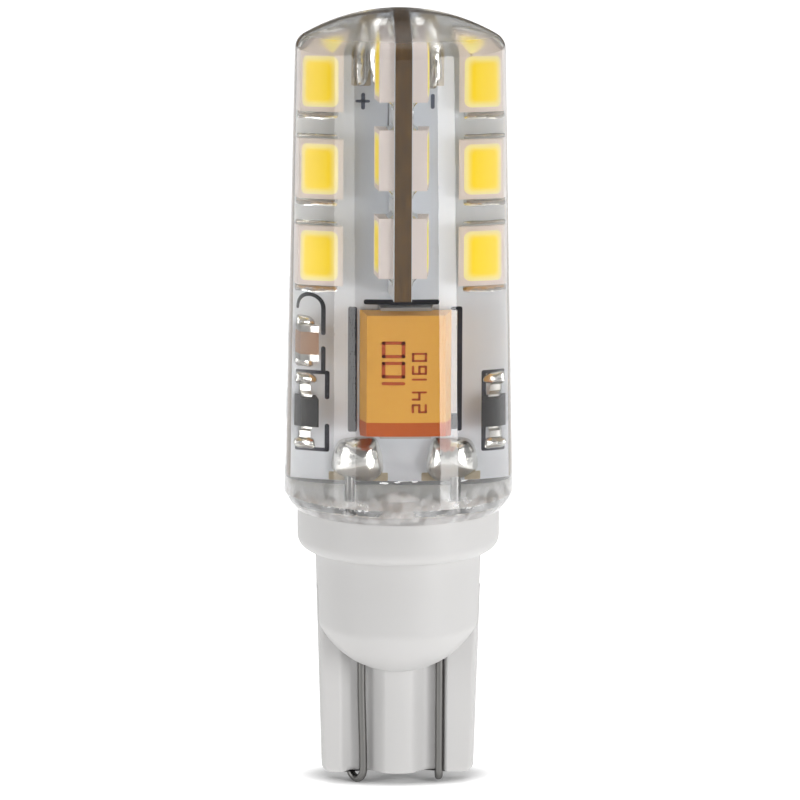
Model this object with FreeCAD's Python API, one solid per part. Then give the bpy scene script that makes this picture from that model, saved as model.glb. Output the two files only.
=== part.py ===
import FreeCAD, Part

import math
import os

from FreeCAD import Placement, Rotation, Vector

# Wedge base LED bulb, in millimetres.
# The origin is the middle of the wedge blade's bottom face. +Z runs up to the clear dome,
# and the side with the capacitor faces -Y.

# White wedge base, one moulding
blade_thickness = 2.1
blade_half_width = 4.57
base_draft_deg = 1.64
blade_corner_radius = 0.5
blade_edge_radius = 0.2
rib_half_width = 1.75
rib_crown = 0.5
rib_edge_drop = 0.2
rib_top = 8.5
groove_width = 1.05
groove_top = 7.0
shoulder_bottom = 6.2
shoulder_radius = 5.36
flange_bottom = 13.95
flange_height = 3.05
flange_radius = 6.04
flange_edge_radius = 0.6
flange_rim_chamfer = 0.2
boss_radius = 1.3
boss_top_radius = 0.5
boss_height = 0.7
edge_cone_count = 2

# Clear silicone body, cast over the boards and the flange's top
silicone_radius = 6.87
silicone_height = 29.6
silicone_draft_deg = 1.44
silicone_overlap = 0.6
silicone_foot_chamfer = 0.25
dome_radius_share = 11.3 / 6.87
dome_edge_radius = 1.0

# Two circuit boards, half lapped into a cross
board_thickness = 1.0
board_lap_clearance = 0.1
main_board_gap = 1.2
main_board_height = 26.8
board_wall = 1.37
cross_board_rise = 0.2
cross_board_step = 0.2
board_corner_run = 2.4
board_corner_drop = 0.9

# LED packages, three high in each column. Head, foot and solder are shares of the gap between two.
led_row_count = 3
led_width_share = 2.8 / 5.5
led_gap_share = 1.6 / 3.5
led_height = 0.8
led_rim_side = 0.26
led_rim_end = 0.28
led_cup_depth = 0.45
led_cup_corner_cut = 0.3
main_led_step = 0.9
main_led_margin = 0.05
cross_led_margin = 0.3
led_head_share = 0.4375
led_foot_share = 0.8125
led_solder_margin = 0.2
led_solder_height = 0.3
led_solder_above_share = 0.1375
led_solder_below_share = 0.3

# Lead wires, straight from the board into the blade's front grooves, then hooked under the blade
wire_radius = 0.24
wire_bore_clearance = 0.04
wire_seat_gap = 0.03
lead_left_x = -2.2
lead_left_end_x = -2.86
lead_right_x = 2.5
lead_right_end_x = 2.5
lead_end_reach = 1.2
lead_board_reach = 2.5

# Solder that joins the leads and the two boards. The leads' solder and the capacitor share one
# middle, circuit_x from the bulb's own.
circuit_x = 0.25
lead_solder_x = 2.05
lead_solder_width = 2.6
lead_solder_length = 2.65
lead_solder_start = 0.05
lead_solder_height = 0.95
lead_solder_slope = 0.5
joint_solder_share = 1.35 / 2.15
joint_solder_length = 2.8
joint_solder_drop = 0.6
joint_solder_radius = 1.9

# Tantalum capacitor on the main board's front
capacitor_foot_gap = 0.1
capacitor_head_gap = 0.75
capacitor_width = 4.3
capacitor_length = 7.45
capacitor_height = 2.8
capacitor_standoff = 0.1
capacitor_draft = 0.15
terminal_width = 2.4
terminal_thickness = 0.15
terminal_foot = 1.3

# Chip parts: a ceramic capacitor in front, two sense resistors at the back
chip_length = 2.1
chip_width = 1.25
ceramic_height = 0.95
resistor_height = 0.55
chip_end_length = 0.38
chip_margin = 0.95
chip_up = 8.25

# Rectifier diodes, two on each side of the main board
diode_length = 1.9
diode_width = 1.4
diode_height = 1.0
diode_draft = 0.12
diode_margin = 1.0
diode_up = 4.1
diode_lead_width = 0.7
diode_lead_reach = 0.75

# Driver chip and power inductor at the back
driver_length = 2.5
driver_width = 4.5
driver_height = 1.5
driver_draft = 0.15
driver_head_gap = 0.3
driver_lead_width = 0.5
driver_lead_pitch = 1.5
driver_lead_reach = 0.9
driver_tab_width = 1.6
inductor_size = 4.0
inductor_height = 2.0
inductor_corner = 0.7
inductor_head_gap = 0.3
lead_sheet = 0.2

flange_top = flange_bottom + flange_height
silicone_bottom = flange_top - silicone_overlap
dome_top = silicone_bottom + silicone_height
dome_radius = silicone_radius * dome_radius_share
main_board_bottom = flange_top + main_board_gap
main_board_top = main_board_bottom + main_board_height
cross_board_top = main_board_top + cross_board_rise
main_board_half_width = silicone_radius - board_wall
cross_board_half_width = main_board_half_width - cross_board_step
capacitor_foot = lead_solder_start + lead_solder_length + capacitor_foot_gap + terminal_thickness
capacitor_up = capacitor_foot + capacitor_length / 2
capacitor_head = capacitor_foot + capacitor_length + terminal_thickness
cross_board_bottom = main_board_bottom + capacitor_head + capacitor_head_gap
lap_height = (cross_board_bottom + main_board_top) / 2
led_gap_count = led_row_count - 1 + led_head_share + led_foot_share
led_length = (cross_board_top - cross_board_bottom) / (led_row_count + led_gap_count * led_gap_share)
led_width = main_board_half_width * led_width_share
led_gap = led_length * led_gap_share
led_pitch = led_length + led_gap
cross_led_first = cross_board_top - led_head_share * led_gap - led_length / 2
main_led_first = cross_led_first - main_led_step
joint_room = main_board_half_width - main_led_margin - led_width - board_thickness / 2
joint_solder_leg = joint_room * joint_solder_share
chip_x = main_board_half_width - chip_margin
diode_x = main_board_half_width - diode_margin
driver_head = cross_board_bottom - main_board_bottom - driver_head_gap - driver_lead_reach + driver_draft
driver_up = driver_head - driver_length / 2
inductor_head = driver_head - driver_length + driver_draft - driver_lead_reach - inductor_head_gap
inductor_up = inductor_head - inductor_size / 2
lead_y = board_thickness / 2 + wire_seat_gap + wire_radius
groove_floor = lead_y - wire_radius - wire_seat_gap
leads = {"left": (lead_left_x, lead_left_end_x), "right": (lead_right_x, lead_right_end_x)}

# Board faces, by the turn about Z that brings the front face to them
faces = {"main_front": 0, "main_back": 180, "cross_left": -90, "cross_right": 90}
led_rows = {"top": 0, "middle": 1, "bottom": led_row_count - 1}

# Names of the two columns on each face, on the local -X side first
columns = {
    "main_front": ("left", "right"),
    "main_back": ("right", "left"),
    "cross_left": ("back", "front"),
    "cross_right": ("front", "back"),
}


def corner_arc(before, corner, after, radius):
    """Tangent points and arc that round one corner of an outline."""
    towards_before = (before - corner).normalize()
    towards_after = (after - corner).normalize()
    half_angle = towards_before.getAngle(towards_after) / 2
    start = corner + towards_before * (radius / math.tan(half_angle))
    end = corner + towards_after * (radius / math.tan(half_angle))
    inward = (towards_before + towards_after).normalize()
    middle = corner + inward * (radius / math.sin(half_angle) - radius)
    return start, end, Part.Arc(start, middle, end).toShape()


def rounded_face(points, radii):
    """Flat face on a closed outline whose corners are rounded, each to its own radius."""
    corners = [Vector(*point) for point in points]
    starts = list(corners)
    ends = list(corners)
    arcs = [None] * len(corners)
    for i, radius in enumerate(radii):
        if radius > 0:
            after = corners[(i + 1) % len(corners)]
            starts[i], ends[i], arcs[i] = corner_arc(corners[i - 1], corners[i], after, radius)
    edges = []
    for i, arc in enumerate(arcs):
        if arc:
            edges.append(arc)
        edges.append(Part.LineSegment(ends[i], starts[(i + 1) % len(corners)]).toShape())
    return Part.Face(Part.Wire(edges))


def polygon(points):
    """Flat face with straight sides through the points."""
    corners = [Vector(*point) for point in points]
    return Part.Face(Part.makePolygon(corners + corners[:1]))


def block(width, length, low, high):
    """Upright block centred on Z, between two heights."""
    return Part.makeBox(width, length, high - low, Vector(-width / 2, -length / 2, low))


def tapered_block(width, length, low, high, taper):
    """Block whose top is smaller than its bottom by the taper on every side."""
    x = width / 2
    y = length / 2
    wedge = Part.makeWedge(-x, low, -y, taper - y, taper - x, x, high, y, y - taper, x - taper)
    return wedge.rotate(Vector(0, 0, 0), Vector(1, 0, 0), 90)


def cut_corner_block(width, length, low, high, cut):
    """Upright block centred on Z whose four upright edges are cut off at 45 degrees."""
    x = width / 2
    y = length / 2
    points = [
        (cut - x, -y, low),
        (x - cut, -y, low),
        (x, cut - y, low),
        (x, y - cut, low),
        (x - cut, y, low),
        (cut - x, y, low),
        (-x, y - cut, low),
        (-x, cut - y, low),
    ]
    return polygon(points).extrude(Vector(0, 0, high - low))


def turned(edges):
    """Solid turned about Z from a closed outline in the XZ plane."""
    return Part.Face(Part.Wire(edges)).revolve(Vector(0, 0, 0), Vector(0, 0, 1), 360)


def lines_xz(points):
    """Straight edges in the XZ plane from each point to the next."""
    corners = [Vector(x, 0, z) for x, z in points]
    return [Part.LineSegment(a, b).toShape() for a, b in zip(corners, corners[1:])]


def chords(x, z, radius, start, end, count):
    """Points along an arc about (x, z), between two angles from +X, for an edge rounded by short cones."""
    angles = [start + (end - start) * step / count for step in range(count + 1)]
    return [(x + radius * math.cos(angle), z + radius * math.sin(angle)) for angle in angles]


def arc_xz(middle_z, radius, x0, z0, x1, z1):
    """Arc in the XZ plane about a point on Z, between two points on it."""
    half_x = (x0 + x1) / 2
    half_z = (z0 + z1) / 2 - middle_z
    reach = radius / math.hypot(half_x, half_z)
    through = Vector(half_x * reach, 0, middle_z + half_z * reach)
    return Part.Arc(Vector(x0, 0, z0), through, Vector(x1, 0, z1)).toShape()


def base_radius(height):
    """Radius of the drafted cone that bounds the blade and the round body."""
    return blade_half_width + height * math.tan(math.radians(base_draft_deg))


def shoulder_meeting():
    """Height where the ball-shaped shoulder meets the drafted side."""
    slope = math.tan(math.radians(base_draft_deg))
    middle = shoulder_bottom + shoulder_radius
    a = 1 + slope**2
    b = 2 * (slope * blade_half_width - middle)
    c = blade_half_width**2 + middle**2 - shoulder_radius**2
    return (-b - math.sqrt(b**2 - 4 * a * c)) / (2 * a)


def base_body():
    """Round body on its ball-shaped shoulder, with the flange on top."""
    meet = shoulder_meeting()
    middle = shoulder_bottom + shoulder_radius
    shoulder = arc_xz(middle, shoulder_radius, 0, shoulder_bottom, base_radius(meet), meet)
    edge_x = flange_radius - flange_edge_radius
    edge_z = flange_bottom + flange_edge_radius
    side = [(base_radius(meet), meet), (base_radius(flange_bottom), flange_bottom)]
    side += chords(edge_x, edge_z, flange_edge_radius, -math.pi / 2, 0, edge_cone_count)
    side.append((flange_radius, flange_top - flange_rim_chamfer))
    side.append((flange_radius - flange_rim_chamfer, flange_top))
    side.append((0, flange_top))
    side.append((0, shoulder_bottom))
    return turned([shoulder] + lines_xz(side))


def base_blade():
    """Flat wedge blade, inside the body's drafted cone, with rounded bottom corners."""
    top = shoulder_bottom + shoulder_radius
    y = blade_thickness / 2
    wide = base_radius(top)
    slab = rounded_face(
        [(-wide, -y, 0), (-wide, y, 0), (-wide, y, top), (-wide, -y, top)],
        [blade_edge_radius, blade_edge_radius, 0, 0],
    ).extrude(Vector(2 * wide, 0, 0))
    plate = rounded_face(
        [(-blade_half_width, -y, 0), (blade_half_width, -y, 0), (wide, -y, top), (-wide, -y, top)],
        [blade_corner_radius, blade_corner_radius, 0, 0],
    ).extrude(Vector(0, blade_thickness, 0))
    cone = Part.makeCone(base_radius(0), wide, top)
    return slab.common(plate).common(cone)


def base_rib():
    """Middle rib of the blade, crowned on both faces."""
    crown = blade_thickness / 2 + rib_crown
    edge = blade_thickness / 2 - rib_edge_drop
    x = rib_half_width
    section = Part.Wire([
        Part.Arc(Vector(-x, -edge, 0), Vector(0, -crown, 0), Vector(x, -edge, 0)).toShape(),
        Part.LineSegment(Vector(x, -edge, 0), Vector(x, edge, 0)).toShape(),
        Part.Arc(Vector(x, edge, 0), Vector(0, crown, 0), Vector(-x, edge, 0)).toShape(),
        Part.LineSegment(Vector(-x, edge, 0), Vector(-x, -edge, 0)).toShape(),
    ])
    return Part.Face(section).extrude(Vector(0, 0, rib_top))


def base_boss():
    """Low round boss in the middle of the flange's top."""
    return Part.makeCone(boss_radius, boss_top_radius, boss_height, Vector(0, 0, flange_top))


def base_grooves():
    """Wire grooves beside the rib, on both faces of the blade."""
    deep = blade_thickness
    grooves = []
    for side in (-1, 1):
        for face in (-1, 1):
            groove = block(groove_width, deep, -deep, groove_top)
            middle = side * (rib_half_width + groove_width / 2)
            grooves.append(groove.translate(Vector(middle, face * (groove_floor + deep / 2), 0)))
    return grooves


def base_bores():
    """Bores for the leads through the round body, and the holes that take their ends."""
    radius = wire_radius + wire_bore_clearance
    bores = []
    for x, end_x in leads.values():
        bore = Part.makeCylinder(radius, flange_top + boss_height - shoulder_bottom)
        bores.append(bore.translate(Vector(x, -lead_y, shoulder_bottom)))
        hole = Part.makeCylinder(radius, 2 * lead_end_reach + wire_bore_clearance)
        bores.append(hole.translate(Vector(end_x, 0, -lead_end_reach)))
    return bores


def wedge_base():
    """White base: body, blade, rib and boss in one, less the wire grooves and bores."""
    base = base_body().fuse([base_blade(), base_rib(), base_boss()])
    return base.cut(base_grooves() + base_bores()).removeSplitter()


def dome_edge_centre():
    """Centre of the rounded edge between the silicone's drafted side and its dome."""
    draft = math.radians(silicone_draft_deg)
    slope = math.tan(draft)
    foot = silicone_radius + silicone_bottom * slope - dome_edge_radius / math.cos(draft)
    middle = dome_top - dome_radius
    a = 1 + slope**2
    b = -2 * (foot * slope + middle)
    c = foot**2 + middle**2 - (dome_radius - dome_edge_radius)**2
    height = (-b + math.sqrt(b**2 - 4 * a * c)) / (2 * a)
    return foot - height * slope, height


def silicone_form():
    """Outer form of the silicone: drafted cylinder under a shallow dome."""
    x, z = dome_edge_centre()
    middle = dome_top - dome_radius
    draft = math.radians(silicone_draft_deg)
    edge = chords(x, z, dome_edge_radius, draft, math.atan2(z - middle, x), edge_cone_count)
    foot = silicone_radius - silicone_foot_chamfer * math.tan(draft)
    side = [
        (0, dome_top),
        (0, silicone_bottom),
        (foot - silicone_foot_chamfer, silicone_bottom),
        (foot, silicone_bottom + silicone_foot_chamfer),
    ]
    return turned(lines_xz(side + edge) + [arc_xz(middle, dome_radius, *edge[-1], 0, dome_top)])


def board_outline(half_width, bottom, top):
    """Board face in the XZ plane, with its top corners cut back under the dome."""
    flat = half_width - board_corner_run
    cut = top - board_corner_drop
    points = [
        (-half_width, 0, bottom),
        (half_width, 0, bottom),
        (half_width, 0, cut),
        (flat, 0, top),
        (-flat, 0, top),
        (-half_width, 0, cut),
    ]
    return polygon(points).translate(Vector(0, -board_thickness / 2, 0))


def board_slot(bottom, top):
    """Slot that takes the other board, cut right through the board's middle."""
    width = board_thickness + board_lap_clearance
    return block(width, 2 * board_thickness, bottom, top)


def main_board():
    """Board in the XZ plane, slotted from its top."""
    outline = board_outline(main_board_half_width, main_board_bottom, main_board_top)
    board = outline.extrude(Vector(0, board_thickness, 0))
    return board.cut(board_slot(lap_height, main_board_top + board_thickness))


def cross_board():
    """Board in the YZ plane, slotted from its bottom."""
    outline = board_outline(cross_board_half_width, cross_board_bottom, cross_board_top)
    board = outline.extrude(Vector(0, board_thickness, 0))
    board = board.cut(board_slot(cross_board_bottom - board_thickness, lap_height))
    return board.rotate(Vector(0, 0, 0), Vector(0, 0, 1), 90)


def on_face(shape, face, across, up):
    """Copy of a part drawn flat on XY, stood on a board face at that place."""
    turn = Rotation(Vector(0, 0, 1), faces[face]).multiply(Rotation(Vector(1, 0, 0), 90))
    stand = Placement(turn.multVec(Vector(across, up, board_thickness / 2)), turn)
    copy = shape.copy()
    copy.Placement = stand.multiply(copy.Placement)
    return copy


def led_cup(low, high):
    """Window of an LED package with cut corners, between two heights."""
    width = led_width - 2 * led_rim_side
    length = led_length - 2 * led_rim_end
    return cut_corner_block(width, length, low, high, led_cup_corner_cut)


def led_housing():
    """Moulded LED package with an open cup."""
    body = block(led_width, led_length, 0, led_height)
    return body.cut(led_cup(led_height - led_cup_depth, led_height + led_cup_depth))


def led_solder():
    """Solder fillets at the two ends of one LED package."""
    fillets = []
    for side, share in ((1, led_solder_above_share), (-1, led_solder_below_share)):
        end = side * led_length / 2
        reach = share * led_gap
        x = led_width / 2 - led_solder_margin
        points = [(-x, end, 0), (-x, end + side * reach, 0), (-x, end, led_solder_height)]
        fillets.append(polygon(points).extrude(Vector(2 * x, 0, 0)))
    return fillets


def led_places(face):
    """Name, place across and height of each LED on a face."""
    main = face.startswith("main")
    half_width = main_board_half_width if main else cross_board_half_width
    margin = main_led_margin if main else cross_led_margin
    first = main_led_first if main else cross_led_first
    places = []
    for side, column in zip((-1, 1), columns[face]):
        across = side * (half_width - margin - led_width / 2)
        for row, step in led_rows.items():
            places.append((f"led_{face}_{column}_{row}", across, first - step * led_pitch))
    return places


def lead(x, end_x):
    """Round lead: from the board's solder down its groove, then hooked under the blade into its hole."""
    turn = Vector(x, -lead_y, 0)
    back = Vector(end_x, 0, 0)
    hook = (back - turn) * 0.5
    drop = Vector(0, 0, -hook.Length)
    corner = math.tan(math.pi / 8)
    middle = turn + hook + drop
    route = Part.makePolygon([
        Vector(x, -lead_y, main_board_bottom + lead_board_reach),
        turn + drop * corner,
        middle - hook * corner,
        middle + hook * corner,
        back + drop * corner,
        back + Vector(0, 0, lead_end_reach),
    ])
    ring = Part.Wire(Part.makeCircle(wire_radius, route.Vertexes[0].Point, Vector(0, 0, -1)))
    mitred = 1
    return route.makePipeShell([ring], True, False, mitred)


def lead_solder(side):
    """Mound of solder over a lead's end on the main board's front, before the lead is cut out."""
    mound = tapered_block(lead_solder_width, lead_solder_length, 0, lead_solder_height, lead_solder_slope)
    up = main_board_bottom + lead_solder_start + lead_solder_length / 2
    return on_face(mound, "main_front", circuit_x + side * lead_solder_x, up)


def joint_solder():
    """Hollow fillets of solder that join the cross board to both sides of the main board."""
    inner = board_thickness / 2
    leg = joint_solder_leg
    diagonal = leg / math.sqrt(2)
    sag = joint_solder_radius - math.sqrt(joint_solder_radius**2 - diagonal**2)
    hollow = leg / 2 - sag / math.sqrt(2)
    section = Part.Wire([
        Part.LineSegment(Vector(inner, inner, 0), Vector(inner + leg, inner, 0)).toShape(),
        Part.Arc(
            Vector(inner + leg, inner, 0),
            Vector(inner + hollow, inner + hollow, 0),
            Vector(inner, inner + leg, 0),
        ).toShape(),
        Part.LineSegment(Vector(inner, inner + leg, 0), Vector(inner, inner, 0)).toShape(),
    ])
    top = main_board_top - joint_solder_drop
    fillet = Part.Face(section).extrude(Vector(0, 0, joint_solder_length))
    fillet.translate(Vector(0, 0, top - joint_solder_length))
    joints = []
    for quarter in range(4):
        joints.append(fillet.copy().rotate(Vector(0, 0, 0), Vector(0, 0, 1), 90 * quarter))
    return joints


def capacitor_body():
    """Moulded body, widest at its parting line."""
    middle = capacitor_standoff + capacitor_height / 2
    top = capacitor_standoff + capacitor_height
    upper = tapered_block(capacitor_width, capacitor_length, middle, top, capacitor_draft)
    lower = upper.mirror(Vector(0, 0, middle), Vector(0, 0, 1))
    return upper.fuse(lower).removeSplitter()


def capacitor_terminals(body):
    """Sheet terminals that come out at the parting line and fold under the body."""
    middle = capacitor_standoff + capacitor_height / 2
    outer = capacitor_length / 2 + terminal_thickness
    sheets = []
    for side in (-1, 1):
        points = [
            (-terminal_width / 2, side * (outer - terminal_foot), 0),
            (-terminal_width / 2, side * outer, 0),
            (-terminal_width / 2, side * outer, middle + terminal_thickness),
            (-terminal_width / 2, side * (outer - terminal_foot), middle + terminal_thickness),
        ]
        sheet = polygon(points).extrude(Vector(terminal_width, 0, 0))
        room_length = capacitor_length - 2 * capacitor_draft
        inside = block(terminal_width, room_length, capacitor_standoff, 2 * middle)
        upright = sheet.cut(inside)
        sheets.append(upright.cut(body).removeSplitter())
    return sheets


def chip_body(height):
    """Middle of a chip part, between its end caps."""
    return block(chip_width, chip_length - 2 * chip_end_length, 0, height)


def chip_ends(height):
    """The two end caps of a chip part."""
    whole = block(chip_width, chip_length, 0, height)
    middle = block(2 * chip_width, chip_length - 2 * chip_end_length, -height, 2 * height)
    return whole.cut(middle).Solids


def diode_body():
    """Moulded diode body, tapered away from its leads."""
    return tapered_block(diode_width, diode_length, 0, diode_height, diode_draft)


def foot(width, reach, body_edge, height, sheet):
    """Lead foot that leaves a package's end, steps down and lies on the board, along +Y."""
    points = [
        (-width / 2, body_edge, 0),
        (-width / 2, body_edge + reach, 0),
        (-width / 2, body_edge + reach, sheet),
        (-width / 2, body_edge + reach / 2, sheet),
        (-width / 2, body_edge + reach / 4, height),
        (-width / 2, body_edge, height),
    ]
    return polygon(points).extrude(Vector(width, 0, 0))


def diode_leads(body):
    """Leads at the two ends of a diode."""
    edge = diode_length / 2 - diode_draft
    lead_foot = foot(diode_lead_width, diode_lead_reach, edge, diode_height / 2, lead_sheet)
    other = lead_foot.copy().rotate(Vector(0, 0, 0), Vector(0, 0, 1), 180)
    return [lead_foot.cut(body), other.cut(body)]


def driver_body():
    """Moulded driver chip body."""
    return tapered_block(driver_width, driver_length, 0, driver_height, driver_draft)


def driver_leads(body):
    """Three leads below the driver chip and the heat tab above it."""
    edge = driver_length / 2 - driver_draft
    pin = foot(driver_lead_width, driver_lead_reach, edge, driver_height / 3, lead_sheet)
    pin.rotate(Vector(0, 0, 0), Vector(0, 0, 1), 180)
    pieces = []
    for step in (-1, 0, 1):
        pieces.append(pin.copy().translate(Vector(step * driver_lead_pitch, 0, 0)))
    pieces.append(foot(driver_tab_width, driver_lead_reach, edge, driver_height / 3, lead_sheet))
    return [piece.cut(body) for piece in pieces]


def inductor_body():
    """Shielded power inductor with cut corners."""
    return cut_corner_block(inductor_size, inductor_size, 0, inductor_height, inductor_corner)


def led_nodes():
    """LED housings one by one, with their windows and solder as one group per board face."""
    housing = led_housing()
    window = led_cup(led_height - led_cup_depth, led_height)
    fillets = led_solder()
    nodes = {}
    for face in faces:
        windows = []
        solder = []
        for name, across, up in led_places(face):
            nodes[name] = [on_face(housing, face, across, up)]
            windows.append(on_face(window, face, across, up))
            solder.extend(on_face(fillet, face, across, up) for fillet in fillets)
        nodes[f"led_windows_{face}"] = windows
        nodes[f"led_solder_{face}"] = solder
    return nodes


def led_blocks():
    """Plain outer blocks of all the LEDs, filled to the rim."""
    package = block(led_width, led_length, 0, led_height)
    return [on_face(package, face, across, up) for face in faces for _, across, up in led_places(face)]


def driver_nodes():
    """Parts of the driver circuit on the main board's two faces."""
    capacitor = capacitor_body()
    capacitor_at = ("main_front", circuit_x, main_board_bottom + capacitor_up)
    chips_up = main_board_bottom + chip_up
    nodes = {
        "tantalum_capacitor": [on_face(capacitor, *capacitor_at)],
        "tantalum_terminals": [on_face(sheet, *capacitor_at) for sheet in capacitor_terminals(capacitor)],
        "power_inductor": [on_face(inductor_body(), "main_back", 0, main_board_bottom + inductor_up)],
        "ceramic_capacitor": [on_face(chip_body(ceramic_height), "main_front", -chip_x, chips_up)],
    }
    ends = [on_face(end, "main_front", -chip_x, chips_up) for end in chip_ends(ceramic_height)]
    resistors = []
    for side in (-1, 1):
        place = ("main_back", side * chip_x, chips_up)
        resistors.append(on_face(chip_body(resistor_height), *place))
        ends.extend(on_face(end, *place) for end in chip_ends(resistor_height))
    nodes["sense_resistors"] = resistors
    nodes["chip_end_caps"] = ends
    diode = diode_body()
    legs = []
    for face, label in (("main_front", "front"), ("main_back", "rear")):
        for side, column in zip((-1, 1), columns[face]):
            place = (face, side * diode_x, main_board_bottom + diode_up)
            nodes[f"{label}_diode_{column}"] = [on_face(diode, *place)]
            legs.extend(on_face(leg, *place) for leg in diode_leads(diode))
    nodes["diode_leads"] = legs
    driver = driver_body()
    place = ("main_back", 0, main_board_bottom + driver_up)
    nodes["driver_chip"] = [on_face(driver, *place)]
    nodes["driver_chip_leads"] = [on_face(leg, *place) for leg in driver_leads(driver)]
    return nodes


def bulb_nodes():
    """Every sub-part by node name, each a list of its solids."""
    left, right = [lead(*places) for places in leads.values()]
    base = wedge_base()
    boards = [main_board(), cross_board()]
    mounds = [lead_solder(-1).cut(left), lead_solder(1).cut(right)]
    joints = joint_solder()
    circuit = driver_nodes()
    leds = led_nodes()
    sealed = [base, left, right] + boards + mounds + joints + led_blocks()
    for name, solids in list(circuit.items()) + list(leds.items()):
        if name in circuit or name.startswith("led_solder"):
            sealed.extend(solids)
    nodes = {
        "silicone_body": [silicone_form().cut(sealed)],
        "wedge_base": [base],
        "main_board": [boards[0]],
        "cross_board": [boards[1]],
        "lead_wire_left": [left],
        "lead_wire_right": [right],
        "lead_solder": mounds,
        "board_joint_solder": joints,
    }
    nodes.update(circuit)
    nodes.update(leds)
    return nodes


def main():
    """Writes one STEP file for each sub-part."""
    os.makedirs("parts", exist_ok=True)
    for name, shapes in bulb_nodes().items():
        solids = [solid for shape in shapes for solid in shape.Solids]
        whole = solids[0] if len(solids) == 1 else Part.makeCompound(solids)
        whole.exportStep(f"parts/{name}.step")
        print(name, len(solids), round(whole.Volume, 3), whole.isValid())


main()
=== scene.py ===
import math

import bmesh
import bpy
import numpy as np
from mathutils import Euler, Matrix, Vector


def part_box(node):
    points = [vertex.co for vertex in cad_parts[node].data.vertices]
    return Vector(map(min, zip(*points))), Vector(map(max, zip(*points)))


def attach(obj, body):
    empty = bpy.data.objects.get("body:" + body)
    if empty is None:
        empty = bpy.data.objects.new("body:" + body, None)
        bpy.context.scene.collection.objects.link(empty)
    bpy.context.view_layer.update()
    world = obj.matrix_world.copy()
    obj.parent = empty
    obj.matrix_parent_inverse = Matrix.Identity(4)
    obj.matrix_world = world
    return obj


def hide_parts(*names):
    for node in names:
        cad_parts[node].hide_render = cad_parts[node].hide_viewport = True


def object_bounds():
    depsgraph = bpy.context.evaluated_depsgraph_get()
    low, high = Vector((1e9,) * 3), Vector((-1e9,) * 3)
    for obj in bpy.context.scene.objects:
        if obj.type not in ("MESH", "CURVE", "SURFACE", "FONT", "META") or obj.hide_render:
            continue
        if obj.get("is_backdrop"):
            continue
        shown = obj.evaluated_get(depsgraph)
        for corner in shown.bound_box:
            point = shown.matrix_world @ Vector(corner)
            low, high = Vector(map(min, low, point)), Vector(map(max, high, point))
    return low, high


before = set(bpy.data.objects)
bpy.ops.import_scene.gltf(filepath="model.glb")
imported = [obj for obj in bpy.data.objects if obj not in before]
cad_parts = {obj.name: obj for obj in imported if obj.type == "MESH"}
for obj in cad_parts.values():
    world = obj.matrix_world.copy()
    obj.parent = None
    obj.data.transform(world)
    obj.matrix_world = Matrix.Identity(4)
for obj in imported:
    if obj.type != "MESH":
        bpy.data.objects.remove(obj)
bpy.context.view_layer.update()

bl_info = {
    "name": "Wedge base LED bulb",
    "version": (1, 0, 0),
    "blender": (4, 5, 0),
    "location": "3D View > Sidebar > Bulb",
    "description": "Dresses the bulb's solids with cast silicone, lit windows, solder, print and a studio",
    "category": "Object",
}

MM = 0.001
NAMES = sorted(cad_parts)

# Sizes that the solids have and their boxes don't show, in millimetres and degrees
BOARD_HALF = 0.5
SILICONE_DRAFT = 1.44
SILICONE_LAP = 0.6
DOME_RADIUS = 11.3
BASE_DRAFT = 1.64
BLADE_HALF_WIDTH = 4.57
BLADE_HALF_THICKNESS = 1.05
BALL_RADIUS = 5.36
BALL_BOTTOM = 6.2
WIRE_RADIUS = 0.24
LED_RIM_SIDE = 0.26
LED_RIM_END = 0.28
CIRCUIT_X = 0.25
MOUND_X = 2.05
CHIP_END = 0.38

# Sizes that the scene softens or adds on the base and the leads, in millimetres and degrees
BALL_END = -26.8
FLANGE_BOTTOM = 13.8
FLANGE_EDGE = 0.8
FLANGE_RIM = 0.25
BOSS_RADIUS = 0.95
BOSS_HEIGHT = 0.5
GROOVE_OUTER = 2.77
GROOVE_INNER = 1.85
GROOVE_DEPTH = 0.55
GROOVE_SOFT = 0.75
WALL_TO_WIRE = 0.15
RIB_SIDE = 0.85
RIB_CROWN = 0.7
LOBE_MIDDLE = 2.98
BLADE_EDGE_SHARE = 1 / 2.6
WIRE_LEAN = 0.12
HOOK_START = 0.096
HOOK_END = 0.96

# The casting's slanted foot bows by this share of its inset
FOOT_BOW = 1 / 16

# A turned profile starts and ends this near to the axis, in millimetres and degrees, and is closed there
POLE_RADIUS = 0.001
POLE_ANGLE = 89.99

# Points nearer than this, in metres, are welded
WELD = 1e-8

# A ribbon's ends are this share of its width in radius, just short of a half circle
RIBBON_END = 0.49

# A Mix node's two colour inputs and its colour output
COLOUR_A = 6
COLOUR_B = 7
COLOUR_OUT = 2

# Width of the picture, in pixels
PICTURE_WIDTH = 800

# The four board faces: which way is out, and which way is across
FACES = {
    "main_front": ((0, -1, 0), (1, 0, 0)),
    "main_back": ((0, 1, 0), (-1, 0, 0)),
    "cross_left": ((-1, 0, 0), (0, -1, 0)),
    "cross_right": ((1, 0, 0), (0, 1, 0)),
}


# Shapes

def corners_of(node):
    """Lowest and highest corner of a node, in millimetres, as arrays."""
    low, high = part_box(node)
    return np.array(low) / MM, np.array(high) / MM


def ring_faces(count, around, first):
    """Quads that join each ring to the next and close on themselves, numbered from first."""
    ring = np.arange(count - 1)[:, None] * around
    step = np.arange(around)[None, :]
    after = (step + 1) % around
    quads = np.stack([ring + step, ring + after, ring + after + around, ring + step + around], axis=-1)
    return quads.reshape(-1, 4) + first


def closed(rings):
    """Rings (m, n, 3) with the first and last drawn to their own middle, which closes both ends."""
    start = np.broadcast_to(rings[0].mean(axis=0), rings[0].shape)
    end = np.broadcast_to(rings[-1].mean(axis=0), rings[-1].shape)
    return np.concatenate([start[None], rings, end[None]])


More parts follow.
